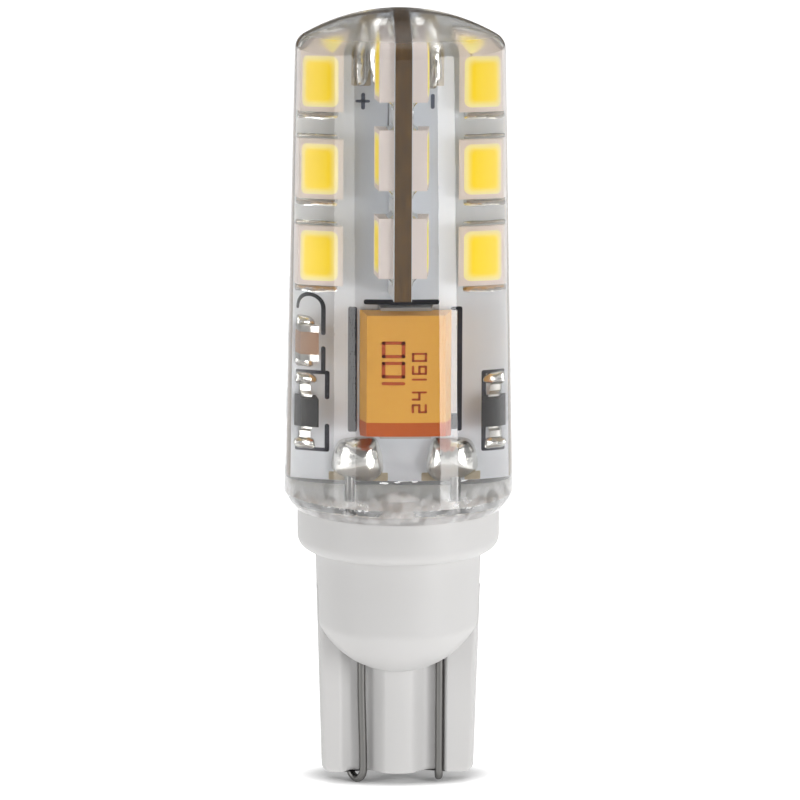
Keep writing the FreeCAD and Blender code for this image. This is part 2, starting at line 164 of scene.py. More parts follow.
def piece(name, shells, material, crease=60, inward=None):
    """One object from closed shells of rings in millimetres: welded, turned outwards and shaded smooth up
    to the crease angle. inward is a value for each point, kept as an attribute of that name."""
    counts = [shell.shape[0] * shell.shape[1] for shell in shells]
    firsts = np.concatenate([[0], np.cumsum(counts)[:-1]])
    points = np.concatenate([shell.reshape(-1, 3) for shell in shells]) * MM
    quads = np.concatenate([ring_faces(s.shape[0], s.shape[1], f) for s, f in zip(shells, firsts)])
    mesh = bpy.data.meshes.new(name)
    mesh.vertices.add(len(points))
    mesh.vertices.foreach_set("co", points.astype(np.float32).ravel())
    mesh.loops.add(quads.size)
    mesh.loops.foreach_set("vertex_index", quads.astype(np.int32).ravel())
    mesh.polygons.add(len(quads))
    mesh.polygons.foreach_set("loop_start", np.arange(0, quads.size, 4, dtype=np.int32))
    mesh.update(calc_edges=True)
    if inward is not None:
        value = mesh.attributes.new("inward", "FLOAT", "POINT")
        value.data.foreach_set("value", np.concatenate([v.ravel() for v in inward]).astype(np.float32))
    work = bmesh.new()
    work.from_mesh(mesh)
    bmesh.ops.remove_doubles(work, verts=work.verts, dist=WELD)
    bmesh.ops.recalc_face_normals(work, faces=work.faces)
    work.to_mesh(mesh)
    work.free()
    mesh.shade_smooth()
    mesh.set_sharp_from_angle(angle=math.radians(crease))
    mesh.materials.append(material)
    shown = bpy.data.objects.new(name, mesh)
    bpy.context.scene.collection.objects.link(shown)
    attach(shown, "root")
    return shown


def arc(x, z, radius, start, end, count):
    """Points on a circle about (x, z), from one angle to another in degrees."""
    angle = np.radians(np.linspace(start, end, count))
    return np.stack([x + radius * np.cos(angle), z + radius * np.sin(angle)], axis=1)


def line(start, end, count):
    """Evenly spaced points from start to end."""
    share = np.linspace(0, 1, count)[:, None]
    return np.array(start) * (1 - share) + np.array(end) * share


def turned(profile, around=160):
    """Profile (radius, height) carried round Z: x = r cos a, y = r sin a."""
    angle = np.linspace(0, 2 * np.pi, around, endpoint=False)
    radius = profile[:, 0][:, None]
    height = np.broadcast_to(profile[:, 1][:, None], (len(profile), around))
    return np.stack([radius * np.cos(angle), radius * np.sin(angle), height], axis=-1)


def rounded_outline(width, height, radius, steps=6):
    """Rectangle about the origin with round corners, as points that run anticlockwise."""
    x = width / 2 - radius
    y = height / 2 - radius
    quarters = [(x, y, 0), (-x, y, 90), (-x, -y, 180), (x, -y, 270)]
    return np.concatenate([arc(cx, cy, radius, turn, turn + 90, steps) for cx, cy, turn in quarters])


def smooth_outline(width, height, power, around=48):
    """Superellipse about the origin: |x / a| to the power plus |y / b| to the power is 1."""
    angle = np.linspace(0, 2 * np.pi, around, endpoint=False)
    c = np.cos(angle)
    s = np.sin(angle)
    x = np.sign(c) * np.abs(c) ** (2 / power) * width / 2
    y = np.sign(s) * np.abs(s) ** (2 / power) * height / 2
    return np.stack([x, y], axis=1)


def on_face(face, across, up, out):
    """Points stood on a board face: across and up along it, out from its surface, all in millimetres."""
    outward, sideways = (np.array(v, float) for v in FACES[face])
    board = corners_of("main_board" if face.startswith("main") else "cross_board")[1]
    surface = board[1] if face.startswith("main") else board[0]
    shape = np.broadcast_shapes(np.shape(across), np.shape(up), np.shape(out))
    across, up, out = (np.broadcast_to(v, shape)[..., None] for v in (across, up, out))
    return sideways * across + np.array([0, 0, 1.0]) * up + outward * (surface + out)


def sweep(path, radius, around=24):
    """Round tube along a path in space: each ring is the radius times cos a and sin a on two directions
    square to the path, and the first of them is square to X too."""
    tangent = np.gradient(path, axis=0)
    tangent /= np.linalg.norm(tangent, axis=1)[:, None]
    side = np.cross(tangent, np.array([1.0, 0.0, 0.0]))
    side /= np.linalg.norm(side, axis=1)[:, None]
    other = np.cross(tangent, side)
    angle = np.linspace(0, 2 * np.pi, around, endpoint=False)
    ring = np.cos(angle)[None, :, None] * side[:, None, :] + np.sin(angle)[None, :, None] * other[:, None, :]
    return closed(path[:, None, :] + radius * ring)


def plate(outline, low, high, face, across, up):
    """Thin plate on a board face from a flat outline, between two heights above the face."""
    height = np.array([low, high])[:, None]
    return closed(on_face(face, across + outline[None, :, 0], up + outline[None, :, 1], height))


def ribbons(strokes, width, low, high, face):
    """Printed lines on a face: each stroke is a straight ribbon with round ends, from (x, z) to (x, z)."""
    shells = []
    for x0, z0, x1, z1 in strokes:
        length = math.hypot(x1 - x0, z1 - z0)
        turn = math.atan2(z1 - z0, x1 - x0)
        flat = rounded_outline(length + width, width, width * RIBBON_END, 4)
        spun = flat @ np.array([[math.cos(turn), math.sin(turn)], [-math.sin(turn), math.cos(turn)]])
        shells.append(plate(spun, low, high, face, (x0 + x1) / 2, (z0 + z1) / 2))
    return shells


def mound(outline, height, face, across, up, lean=0.0, wave=0.0, seed=0.0, rows=10):
    """Mound of solder: rings that shrink as cos t, rise as sin t and lean over as sin t. Their radius swings
    by the wave as sin 3a, fading as cos t, and by half of it as sin 5a; their height swings as sin 2a."""
    top_share = 0.98
    t = np.linspace(0, np.pi / 2 * top_share, rows)[:, None]
    angle = np.linspace(0, 2 * np.pi, len(outline), endpoint=False)[None, :]
    bulge = 1 + wave * np.sin(3 * angle + seed) * np.cos(t) + 0.5 * wave * np.sin(5 * angle - 2 * seed)
    x = outline[None, :, 0] * np.cos(t) * bulge + lean * np.sin(t)
    z = outline[None, :, 1] * np.cos(t) * bulge
    out = height * np.sin(t) * (1 + wave * np.sin(2 * angle + seed) * np.cos(t))
    return closed(on_face(face, across + x, up + z, np.broadcast_to(out, x.shape)))


# Materials

def linear(code):
    """Linear colour from an sRGB hex code."""
    channels = [int(code[i:i + 2], 16) / 255 for i in (1, 3, 5)]
    return tuple(c / 12.92 if c <= 0.04045 else ((c + 0.055) / 1.055) ** 2.4 for c in channels) + (1.0,)


def add(tree, kind, inputs=(), **settings):
    """Adds a node, sets its own settings, and fills each input with a value or a link."""
    node = tree.nodes.new(kind)
    for key, value in settings.items():
        setattr(node, key, value)
    for key, value in dict(inputs).items():
        if isinstance(value, bpy.types.NodeSocket):
            tree.links.new(value, node.inputs[key])
        else:
            node.inputs[key].default_value = value
    return node


def finish(name, inputs):
    """New material with one Principled shader, and its node tree."""
    made = bpy.data.materials.new(name)
    made.use_nodes = True
    tree = made.node_tree
    tree.nodes.clear()
    shader = add(tree, "ShaderNodeBsdfPrincipled", inputs)
    add(tree, "ShaderNodeOutputMaterial", {"Surface": shader.outputs["BSDF"]})
    return made, tree, shader


def coordinates(tree, stretch=None):
    """Object coordinates in metres, each times its stretch if there is one."""
    found = add(tree, "ShaderNodeTexCoord").outputs["Object"]
    if stretch is None:
        return found
    return add(tree, "ShaderNodeMapping", {"Vector": found, "Scale": stretch}).outputs[0]


def along(tree, axis):
    """Object coordinate along one axis, in metres."""
    return add(tree, "ShaderNodeSeparateXYZ", {"Vector": coordinates(tree)}).outputs[axis]


def noise(tree, place, size, detail):
    """Noise that repeats about once in that many millimetres."""
    inputs = {"Vector": place, "Scale": 1 / (size * MM), "Detail": detail}
    return add(tree, "ShaderNodeTexNoise", inputs).outputs[0]


def ramp(tree, value, start, end, before, after, kind="SMOOTHSTEP"):
    """Goes from before to after as the value goes from start to end, by a smooth step or LINEAR."""
    inputs = {"Value": value, "From Min": start, "From Max": end, "To Min": before, "To Max": after}
    return add(tree, "ShaderNodeMapRange", inputs, interpolation_type=kind).outputs[0]


def calculate(tree, operation, *values):
    """Result of an operation on one or two values or sockets."""
    return add(tree, "ShaderNodeMath", dict(enumerate(values)), operation=operation).outputs[0]


def bump(tree, height, depth, under=None):
    """Normal of a surface lifted by a height socket times a depth in metres, over another if given."""
    inputs = {"Height": height, "Distance": depth, "Strength": 1.0}
    if under is not None:
        inputs["Normal"] = under
    return add(tree, "ShaderNodeBump", inputs).outputs[0]


def grain(tree, shader, size, depth, stretch=(1, 1, 1)):
    """Bump of that depth in millimetres from noise of that grain size, on object coordinates."""
    height = noise(tree, coordinates(tree, stretch), size, 2.0)
    tree.links.new(bump(tree, height, depth * MM), shader.inputs["Normal"])


def blend(tree, share, low, high):
    """Colour mixed from low to high by a share socket; both are colours or sockets."""
    mix = add(tree, "ShaderNodeMix", {"Factor": share, COLOUR_A: low, COLOUR_B: high}, data_type="RGBA")
    return mix.outputs[COLOUR_OUT]


def cast_silicone(tint):
    """Clear platinum silicone, cast in a polished mould: glass clear and glossy with a faint slow ripple,
    uneven and slightly cloudy along its trimmed foot, and hazy over the dome."""
    gloss, dome_haze = 0.03, 0.28
    ripple_size, ripple_depth = 2.2, 0.006
    foot_grain, foot_depth = 0.7, 0.09
    foot_start, foot_end = 0.5, 1.3
    cloud_start, cloud_end = 1.5, 2.6
    cloud_thin, cloud_thick = 0.02, 0.26
    noise_low, noise_high = 0.38, 0.66
    haze_below_top, haze_run = 2.6, 1.2
    made, tree, shader = finish("clear_cast_silicone", {
        "Base Color": linear(tint),
        "Roughness": gloss,
        "IOR": 1.41,
        "Transmission Weight": 1.0,
    })
    low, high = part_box("silicone_body")
    haze_start = high[2] - haze_below_top * MM
    height = along(tree, 2)
    place = coordinates(tree)
    slow = bump(tree, noise(tree, place, ripple_size, 1.0), ripple_depth * MM)
    rough = noise(tree, place, foot_grain, 2.0)
    foot = (low[2] + foot_start * MM, low[2] + foot_end * MM)
    depth = ramp(tree, height, *foot, foot_depth * MM, 0.0, "LINEAR")
    tree.links.new(bump(tree, rough, depth, slow), shader.inputs["Normal"])
    haze = ramp(tree, height, haze_start, haze_start + haze_run * MM, gloss, dome_haze)
    tree.links.new(haze, shader.inputs["Roughness"])
    cloud = ramp(tree, rough, noise_low, noise_high, cloud_thin, cloud_thick, "LINEAR")
    zone = ramp(tree, height, low[2] + cloud_start * MM, low[2] + cloud_end * MM, 1.0, 0.0)
    clear = calculate(tree, "SUBTRACT", 1.0, calculate(tree, "MULTIPLY", cloud, zone))
    tree.links.new(clear, shader.inputs["Transmission Weight"])
    return made


def moulded_nylon(colour):
    """Natural white nylon, injection moulded: satin, a little light goes in and comes out again; painted
    lighter on top, where the silicone covers it, as painted light that brightens it there."""
    made, tree, shader = finish("white_moulded_nylon", {
        "Base Color": linear(colour),
        "Roughness": 0.5,
        "IOR": 1.53,
        "Subsurface Weight": 0.12,
        "Subsurface Radius": (0.9, 0.85, 0.8),
        "Subsurface Scale": 1.0 * MM,
    })
    grain(tree, shader, 0.35, 0.004)
    # Painted light: above this height, inside the silicone, the nylon takes a paler colour so it looks
    # brighter lit
    lap_share = 0.9
    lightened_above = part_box("silicone_body")[0][2] + lap_share * SILICONE_LAP * MM
    above = calculate(tree, "GREATER_THAN", along(tree, 2), lightened_above)
    shade = blend(tree, above, linear(colour), linear("#F2F2F0"))
    tree.links.new(shade, shader.inputs["Base Color"])
    return made


def board_mask(name, colour, edge, axis):
    """White solder mask, screen printed: smooth, over glass epoxy whose routed edges show mottled brown."""
    mask_thickness = 0.035
    made, tree, shader = finish(name, {"Roughness": 0.3, "IOR": 1.5})
    low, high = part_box("main_board" if axis == 1 else "cross_board")
    skin = (high[axis] - low[axis]) / 2 - mask_thickness * MM
    face = calculate(tree, "GREATER_THAN", calculate(tree, "ABSOLUTE", along(tree, axis)), skin)
    mottle = noise(tree, coordinates(tree, (1, 1, 0.25)), 0.3, 3.0)
    shade = blend(tree, face, blend(tree, mottle, linear(edge), linear("#75562A")), linear(colour))
    tree.links.new(shade, shader.inputs["Base Color"])
    return made


def reflector_plastic():
    """White polyamide of the LED packages, moulded: satin, a warm white."""
    made, tree, shader = finish("led_reflector_polyamide", {
        "Base Color": linear("#EFE4DE"),
        "Roughness": 0.4,
        "IOR": 1.5,
    })
    grain(tree, shader, 0.2, 0.002)
    return made


def phosphor(centre, rim):
    """Phosphor-filled silicone, dispensed into the cup: deep yellow, paler where it thins to the rim, with a
    faint painted glow.
    """
    rim_share = 0.42
    made, tree, shader = finish("yellow_phosphor_gel", {
        "Roughness": 0.35,
        "IOR": 1.45,
        # Painted glow: the gel shines faintly in its own colour, which brightens it
        "Emission Strength": 0.25,
    })
    depth = add(tree, "ShaderNodeAttribute", attribute_name="inward")
    share = ramp(tree, depth.outputs["Fac"], 0.0, rim_share, 0.0, 1.0)
    colour = blend(tree, share, linear(rim), linear(centre))
    tree.links.new(colour, shader.inputs["Base Color"])
    tree.links.new(colour, shader.inputs["Emission Color"])
    return made


def solder_metal():
    """Tin solder, reflowed: a bright skin, uneven where it froze."""
    made, tree, shader = finish("reflowed_solder", {
        "Base Color": linear("#DDDCD8"),
        "Metallic": 1.0,
        "Roughness": 0.24,
    })
    grain(tree, shader, 0.5, 0.04)
    return made


def tinned_wire():
    """Tinned copper wire, drawn and slightly dulled: mid-grey with a soft highlight and faint draw marks."""
    made, tree, shader = finish("tinned_copper_wire", {
        "Base Color": linear("#72716F"),
        "Metallic": 1.0,
        "Roughness": 0.32,
    })
    grain(tree, shader, 0.12, 0.004, (1, 1, 0.1))
    return made


def tin_sheet():
    """Tin plated sheet of the terminals and leads, stamped: satin grey metal."""
    made, tree, shader = finish("tin_plated_sheet", {
        "Base Color": linear("#BDBBB6"),
        "Metallic": 1.0,
        "Roughness": 0.32,
    })
    grain(tree, shader, 0.15, 0.003)
    return made


def amber_epoxy(body, band):
    """Amber epoxy of the tantalum capacitor, transfer moulded: smooth satin, with a darker end band."""
    band_share = 0.13
    made, tree, shader = finish("amber_moulded_epoxy", {"Roughness": 0.42, "IOR": 1.5})
    low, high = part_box("tantalum_capacitor")
    above = calculate(tree, "GREATER_THAN", along(tree, 2), low[2] + band_share * (high[2] - low[2]))
    colour = blend(tree, above, linear(band), linear(body))
    tree.links.new(colour, shader.inputs["Base Color"])
    grain(tree, shader, 0.12, 0.003)
    return made


def plain(name, colour, roughness, size, depth):
    """Moulded body, fired body or printed ink of one colour, with a fine grain."""
    made, tree, shader = finish(name, {"Base Color": linear(colour), "Roughness": roughness, "IOR": 1.5})
    grain(tree, shader, size, depth)
    return made


def bare_laminate():
    """Glass epoxy laminate without mask, milled: tan, matt, with a faint weave."""
    made, tree, shader = finish("bare_glass_epoxy", {"Roughness": 0.55, "IOR": 1.5})
    weave = noise(tree, coordinates(tree), 0.25, 2.0)
    colour = blend(tree, weave, linear("#A3957B"), linear("#C6BAA2"))
    tree.links.new(colour, shader.inputs["Base Color"])
    return made


def lit_paper():
    """White paper sweep over a light table: matt, past white round and behind the bulb; its glow is dimmer
    just in front of the bulb, and under its foot it is darkened into a painted shadow. Each band is a start
    and end along Y in millimetres, and the light before and after it."""
    shadow_shift, shadow_flat = 1.2, 2.2
    shadow_start, shadow_end = 4.0, 6.8
    shadow_light, open_light = 0.05, 0.7
    bands = ((-60, -8, 0.1, 1.0), (-400, -120, 0.9, 0.0), (8, 90, 0.0, 0.27))
    made, tree, shader = finish("lit_white_paper", {
        "Base Color": linear("#E8E8E8"),
        "Roughness": 0.9,
        "Specular IOR Level": 0.0,
        "Emission Color": (1, 1, 1, 1),
    })
    # Painted shadow: the floor's glow is dimmed in an oval round the bulb's foot
    shift = (0.0, -shadow_shift * MM, 0.0)
    middle = add(tree, "ShaderNodeVectorMath", {0: coordinates(tree), 1: shift}).outputs[0]
    spread = (1.0, shadow_flat, 0.0)
    flat = add(tree, "ShaderNodeVectorMath", {0: middle, 1: spread}, operation="MULTIPLY").outputs[0]
    away = add(tree, "ShaderNodeVectorMath", {0: flat}, operation="LENGTH").outputs["Value"]
    shadow = ramp(tree, away, shadow_start * MM, shadow_end * MM, shadow_light, open_light)
    y = along(tree, 1)
    near, front, far = [ramp(tree, y, start * MM, end * MM, *light) for start, end, *light in bands]
    close = calculate(tree, "MULTIPLY", calculate(tree, "ADD", near, front), shadow)
    tree.links.new(calculate(tree, "ADD", close, far), shader.inputs["Emission Strength"])
    return made


def dress(node, material):
    """Gives a node of the frame its material."""
    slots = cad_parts[node].data.materials
    slots.clear()
    slots.append(material)


# Sizes and colours that a user may change

class BulbCasting(bpy.types.PropertyGroup):
    """Clear casting and the white moulding that it stands on."""

    edge_radius: bpy.props.FloatProperty(
        name="Dome edge",
        description="Radius of the rounded edge under the dome",
        default=1.0 * MM,
        unit="LENGTH",
    )
    foot_in: bpy.props.FloatProperty(
        name="Foot inset",
        description="How far the silicone's slanted foot runs in",
        default=0.62 * MM,
        unit="LENGTH",
    )
    foot_up: bpy.props.FloatProperty(
        name="Foot height",
        description="Height of the silicone's slanted foot",
        default=0.98 * MM,
        unit="LENGTH",
    )
    silicone_tint: bpy.props.StringProperty(
        name="Silicone tint",
        description="Colour of the clear silicone as sRGB hex",
        default="#FFFFFF",
    )
    nylon_colour: bpy.props.StringProperty(
        name="Nylon colour",
        description="Colour of the base as sRGB hex",
        default="#B9B8B7",
    )


class BulbLights(bpy.types.PropertyGroup):
    """LED windows, boards and print."""

    window_radius: bpy.props.FloatProperty(
        name="Window corner",
        description="Corner radius of an LED window",
        default=0.38 * MM,
        unit="LENGTH",
    )
    phosphor_colour: bpy.props.StringProperty(
        name="Phosphor",
        description="Colour of the phosphor as sRGB hex",
        default="#FFDD1E",
    )
    phosphor_rim: bpy.props.StringProperty(
        name="Phosphor rim",
        description="Colour where the phosphor thins out, as sRGB hex",
        default="#F6E9A8",
    )
    print_width: bpy.props.FloatProperty(
        name="Print width",
        description="Width of a printed line on the board",
        default=0.22 * MM,
        unit="LENGTH",
    )


class BulbStudio(bpy.types.PropertyGroup):
    """Camera and lights."""

    distance: bpy.props.FloatProperty(
        name="Distance",
        description="Camera's distance from the bulb's axis",
        default=220 * MM,
        unit="LENGTH",
    )
    height: bpy.props.FloatProperty(
        name="Height",
        description="Camera's height above the blade's bottom",
        default=64 * MM,
        unit="LENGTH",
    )
    azimuth: bpy.props.FloatProperty(
        name="Azimuth",
        description="Camera's turn from the front",
        default=math.radians(-2.1),
        subtype="ANGLE",
    )
    pitch: bpy.props.FloatProperty(
        name="Pitch",
        description="How far the camera looks down",
        default=math.radians(10.56),
        subtype="ANGLE",
    )
    roll: bpy.props.FloatProperty(
        name="Roll",
        description="Camera's turn about its own axis",
        default=math.radians(0.26),
        subtype="ANGLE",
    )
    lens: bpy.props.FloatProperty(
        name="Lens",
        description="Focal length in millimetres on a 36 mm sensor",
        default=169.2,
    )
    shift_x: bpy.props.FloatProperty(
        name="Shift X",
        description="Sideways shift of the picture, as a share of its width",
        default=1.2 / PICTURE_WIDTH,
    )
    shift_y: bpy.props.FloatProperty(
        name="Shift Y",
        description="Upward shift of the picture, as a share of its width",
        default=-4.9 / PICTURE_WIDTH,
    )
    strip_distance: bpy.props.FloatProperty(
        name="Strip distance",
        description="Distance of the strip lights from the axis",
        default=75 * MM,
        unit="LENGTH",
    )
    strip_height: bpy.props.FloatProperty(
        name="Strip height",
        description="Height of the strip lights' middle",
        default=24 * MM,
        unit="LENGTH",
    )
    left_turn: bpy.props.FloatProperty(
        name="Left turn",
        description="Left strip's turn from the front",
        default=math.radians(-59),
        subtype="ANGLE",
    )
    right_turn: bpy.props.FloatProperty(
        name="Right turn",
        description="Right strip's turn from the front",
        default=math.radians(47),
        subtype="ANGLE",
    )
    left_power: bpy.props.FloatProperty(
        name="Left power",
        description="Power of the left strip",
        default=0.024,
        unit="POWER",
    )
    right_power: bpy.props.FloatProperty(
        name="Right power",
        description="Power of the right strip",
        default=0.040,
        unit="POWER",
    )
    top_power: bpy.props.FloatProperty(
        name="Top power",
        description="Power of the overhead softbox",
        default=2.2,
        unit="POWER",
    )


# Pieces

def silicone_profile(edge, foot_in, foot_up):
    """Profile of the casting from its foot to the dome's top: slanted foot, drafted side, round edge and
    dome. The edge's centre is where a line inside the side meets a circle inside the dome, both an edge
    radius away."""
    low, high = corners_of("silicone_body")
    slope = math.tan(math.radians(SILICONE_DRAFT))
    tilt = math.cos(math.radians(SILICONE_DRAFT))
    radius = high[0] + foot_up * slope / 2
    centre = high[2] - DOME_RADIUS
    inner = radius + low[2] * slope - edge / tilt
    a = 1 + slope**2
    b = -2 * (inner * slope + centre)
    c = inner**2 + centre**2 - (DOME_RADIUS - edge) ** 2
    z = (-b + math.sqrt(b * b - 4 * a * c)) / (2 * a)
    x = inner - z * slope
    meet = math.degrees(math.atan2(z - centre, x))
    foot = low[2] + foot_up
    side_foot = (radius - foot_up * slope, foot)
    side_top = (x + edge * tilt, z + edge * slope * tilt)
    foot_line = line((side_foot[0] - foot_in, low[2]), side_foot, 10)
    bow = np.sin(np.linspace(0, np.pi, len(foot_line))) * foot_in * FOOT_BOW
    return np.concatenate([
        line((POLE_RADIUS, low[2]), (side_foot[0] - foot_in, low[2]), 12)[:-1],
        foot_line + np.stack([bow, -bow], axis=1),
        line(side_foot, side_top, 60)[1:-1],
        arc(x, z, edge, SILICONE_DRAFT, meet, 12),
        arc(0, centre, DOME_RADIUS, meet, POLE_ANGLE, 40)[1:],
    ])


class BULB_OT_casting(bpy.types.Operator):
    """Casts the clear silicone body over the boards"""

    bl_idname = "bulb.casting"
    bl_label = "Silicone casting"

    def execute(self, context):
        sizes = context.scene.bulb_casting
        profile = silicone_profile(sizes.edge_radius / MM, sizes.foot_in / MM, sizes.foot_up / MM)
        clear = cast_silicone(sizes.silicone_tint)
        casting = piece("silicone_casting", [closed(turned(profile, 192))], clear, crease=25)
        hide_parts("silicone_body")
        return {"FINISHED"}


def base_profile():
    """Profile of the base's round body from the ball's bottom, by arcs and drafted lines, to the middle of
    the boss on the flange's top, which is a cap of a sphere."""
    flange = corners_of("wedge_base")[1][0]
    top = corners_of("silicone_body")[0][2] + SILICONE_LAP
    draft = math.tan(math.radians(BASE_DRAFT))
    ball_z = BALL_BOTTOM + BALL_RADIUS
    meet = ball_z + BALL_RADIUS * math.sin(math.radians(BALL_END))
    corner = FLANGE_RIM / 2
    neck = BLADE_HALF_WIDTH + FLANGE_BOTTOM * draft
    boss = (BOSS_RADIUS**2 + BOSS_HEIGHT**2) / (2 * BOSS_HEIGHT)
    boss_start = math.degrees(math.acos(BOSS_RADIUS / boss))
    return np.concatenate([
        arc(0, ball_z, BALL_RADIUS, -POLE_ANGLE, BALL_END, 40),
        line((BLADE_HALF_WIDTH + meet * draft, meet), (neck, FLANGE_BOTTOM - corner), 24)[1:],
        arc(neck + corner, FLANGE_BOTTOM - corner, corner, 180, 90, 6)[1:],
        line((neck + corner, FLANGE_BOTTOM), (flange - FLANGE_EDGE, FLANGE_BOTTOM), 6)[1:-1],
        arc(flange - FLANGE_EDGE, FLANGE_BOTTOM + FLANGE_EDGE, FLANGE_EDGE, -90, 0, 12),
        line((flange, FLANGE_BOTTOM + FLANGE_EDGE), (flange, top - FLANGE_RIM), 10)[1:-1],
        arc(flange - FLANGE_RIM, top - FLANGE_RIM, FLANGE_RIM, 0, 90, 8),
        line((flange - FLANGE_RIM, top), (BOSS_RADIUS, top), 12)[1:],
        arc(0, top + BOSS_HEIGHT - boss, boss, boss_start, POLE_ANGLE, 14)[1:],
    ])


def smooth_step(low, high, value):
    """0 below low, 1 above high, and 3 t t - 2 t t t between them."""
    t = np.clip((value - low) / (high - low), 0, 1)
    return t * t * (3 - 2 * t)


def blade_section():
    """Section of the blade in XY. Its half thickness runs in smooth steps from the flat lobe down to the
    groove's floor and up to the crowned rib; the left groove's outer side is the softer one. The back is
    the front's mirror."""
    half = BLADE_HALF_WIDTH
    face = BLADE_HALF_THICKNESS
    floor = face - GROOVE_DEPTH
    corner = face / 3
    x = np.linspace(half - corner, corner - half, 220)
    width = np.abs(x)
    outer_reach = np.where(x < 0, GROOVE_SOFT, GROOVE_SOFT / 2)
    outer = np.where(x < 0, GROOVE_OUTER, GROOVE_OUTER - WALL_TO_WIRE)
    lobe = (face - floor) * smooth_step(outer, outer + outer_reach, width)
    crown = RIB_SIDE + RIB_CROWN * (1 - (width / GROOVE_INNER) ** 2)
    rib_step = smooth_step(-GROOVE_INNER, 1.5 * GROOVE_SOFT - GROOVE_INNER, -width)
    rib = (np.maximum(crown, floor) - floor) * rib_step
    front = np.stack([x, -(floor + lobe + rib)], axis=1)
    right = arc(half - corner, -(face - corner), corner, 0, -90, 8)[:-1]
    left = right[::-1] * np.array([-1, 1])
    whole_front = np.concatenate([right, front, left])
    back = whole_front[::-1] * np.array([1, -1])
    return np.concatenate([whole_front, back])


def blade_shell():
    """Blade section carried up Z: lobes widen with the draft, and the bottom edge is rounded as a circle."""
    section = blade_section()
    corner = BLADE_HALF_THICKNESS / 2
    edge = corner * BLADE_EDGE_SHARE
    foot = corner * (1 - np.cos(np.linspace(0, np.pi / 2, 9)))
    z = np.concatenate([foot, np.linspace(corner, BALL_BOTTOM + BALL_RADIUS, 26)[1:]])
    draft = math.tan(math.radians(BASE_DRAFT))
    pull_x = corner - np.sqrt(np.clip(corner**2 - (corner - np.minimum(z, corner)) ** 2, 0, None))
    pull_y = edge - np.sqrt(np.clip(edge**2 - (edge - np.minimum(z, edge)) ** 2, 0, None))
    wide = (BLADE_HALF_WIDTH + z * draft - pull_x)[:, None]
    x = section[None, :, 0]
    stretch = (wide - LOBE_MIDDLE) / (BLADE_HALF_WIDTH - LOBE_MIDDLE)
    lobe = np.sign(x) * (LOBE_MIDDLE + (np.abs(x) - LOBE_MIDDLE) * stretch)
    x = np.where(np.abs(x) > LOBE_MIDDLE, lobe, x + 0 * wide)
    y = section[None, :, 1] * (1 - pull_y[:, None] / BLADE_HALF_THICKNESS)
    return closed(np.stack([x, y, np.broadcast_to(z[:, None], x.shape)], axis=-1))


class BULB_OT_base(bpy.types.Operator):
    """Moulds the white wedge base: flange, ball-shaped shoulder and grooved blade"""

    bl_idname = "bulb.base"
    bl_label = "Wedge base"

    def execute(self, context):
        nylon = moulded_nylon(context.scene.bulb_casting.nylon_colour)
        base = piece("base_moulding", [closed(turned(base_profile())), blade_shell()], nylon, crease=50)
        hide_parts("wedge_base")
        return {"FINISHED"}


def lead_path(node):
    """Line of a lead from the board down its groove, round under the blade and up into its hole. The left
    one leans as half of 1 - cos. The hook goes across as half of 1 - cos a and hangs down as sin a."""
    low, high = corners_of(node)
    front = low[1] + WIRE_RADIUS
    left = node.endswith("left")
    x = high[0] - WIRE_RADIUS if left else (low[0] + high[0]) / 2
    end_x = low[0] + WIRE_RADIUS if left else x
    down = line((x, front, high[2]), (x, front, WIRE_RADIUS), 60)
    if left:
        fall = np.clip(1 - down[:, 2] / BALL_BOTTOM, 0, 1)
        down[:, 0] += WIRE_LEAN * (1 - np.cos(np.pi * fall)) / 2
        x += WIRE_LEAN
    angle = np.linspace(0, np.pi, 25)
    share = (1 - np.cos(angle)) / 2
    hang = HOOK_START * np.cos(angle) ** 2 + (low[2] + WIRE_RADIUS) * np.sin(angle)
    hook = np.stack([x + (end_x - x) * share, front * (1 - share), hang], axis=1)
    up = line((end_x, 0, WIRE_RADIUS), (end_x, 0, HOOK_END), 8)
    return np.concatenate([down, hook, up])


class BULB_OT_leads(bpy.types.Operator):
    """Bends the two tinned lead wires"""

    bl_idname = "bulb.leads"
    bl_label = "Lead wires"

    def execute(self, context):
        wire = tinned_wire()
        for node in ("lead_wire_left", "lead_wire_right"):
            name = node.replace("lead_wire", "bent_lead")
            lead = piece(name, [sweep(lead_path(node), WIRE_RADIUS)], wire)
            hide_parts(node)
        return {"FINISHED"}


# LED windows and the solder at the packages' ends, in millimetres
GEL_FLOOR = 0.4
GEL_RISE = 0.008
GEL_SINK = 0.03
GEL_LAST = 0.97
FILLET_WAVE = 0.06
FILLET_EDGE = 0.03
FILLET_SIDE = 0.12
FILLET_TIP = 0.995
FILLET_NARROW = 0.55
FILLET_FOOT = 0.002

# Both ends of a package: which way it faces, the fillet's reach and climb in millimetres, and the phase of
# its wave, from package to package and at the first
FILLET_ENDS = ((1, 0.25, 0.25, 1.7, 0.0), (-1, 0.48, 0.3, 2.3, 1.0))


def led_boxes(face):
    """Middle across, middle up, width, length and height of each LED package on a face, from the frame."""
    sideways = np.array(FACES[face][1], float)
    outward = np.array(FACES[face][0], float)
    found = []
    for node in NAMES:
        if node.startswith(f"led_{face}_"):
            low, high = corners_of(node)
            across = sorted((low @ sideways, high @ sideways))
            out = max(abs(low @ outward), abs(high @ outward)) - BOARD_HALF
            middle = (sum(across) / 2, (low[2] + high[2]) / 2)
            found.append((*middle, across[1] - across[0], high[2] - low[2], out))
    return found


